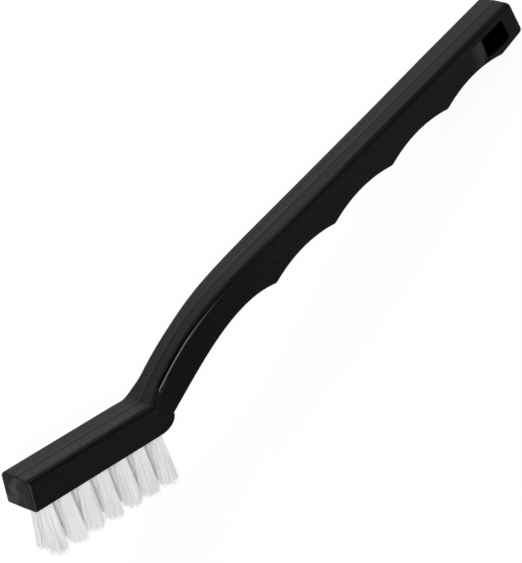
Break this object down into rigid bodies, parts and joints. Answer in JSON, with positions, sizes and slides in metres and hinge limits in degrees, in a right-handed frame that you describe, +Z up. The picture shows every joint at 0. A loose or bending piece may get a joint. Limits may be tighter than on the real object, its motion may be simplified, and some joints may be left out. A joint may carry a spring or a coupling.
{
  "type": "utility brush",
  "caption": "Narrow hand brush: a bent handle with finger scallops and a hang hole, and a straight head with rows of stiff bristle tufts for scrubbing tight places.",
  "frame": {"origin": "on the surface that the brush stands on, below the middle of its bounding box", "axes": "+X along the brush from the head's front end to the tail, +Z up, and Y across from one side face to the other; the brush stands at rest on its rear tufts and the lower corner of its tail, with its head raised"},
  "size_m": [0.194, 0.011, 0.038],
  "materials": {
    "black_plastic": "black polypropylene, moulded, semi-gloss with a fine grain",
    "white_nylon": "translucent white nylon filament",
    "anchor_wire": "flat drawn wire, bright"
  },
  "bodies": {
    "root": {"handle": "black_plastic", "anchor_row1_1": "anchor_wire", "anchor_row1_2": "anchor_wire", "anchor_row1_3": "anchor_wire", "anchor_row1_4": "anchor_wire", "anchor_row1_5": "anchor_wire", "anchor_row1_6": "anchor_wire", "anchor_row1_7": "anchor_wire", "anchor_row2_1": "anchor_wire", "anchor_row2_2": "anchor_wire", "anchor_row2_3": "anchor_wire", "anchor_row2_4": "anchor_wire", "anchor_row2_5": "anchor_wire", "anchor_row2_6": "anchor_wire", "anchor_row2_7": "anchor_wire", "tuft_row1_1": "white_nylon", "tuft_row1_2": "white_nylon", "tuft_row1_3": "white_nylon", "tuft_row1_4": "white_nylon", "tuft_row1_5": "white_nylon", "tuft_row1_6": "white_nylon", "tuft_row1_7": "white_nylon", "tuft_row2_1": "white_nylon", "tuft_row2_2": "white_nylon", "tuft_row2_3": "white_nylon", "tuft_row2_4": "white_nylon", "tuft_row2_5": "white_nylon", "tuft_row2_6": "white_nylon", "tuft_row2_7": "white_nylon"}
  },
  "joints": []
}
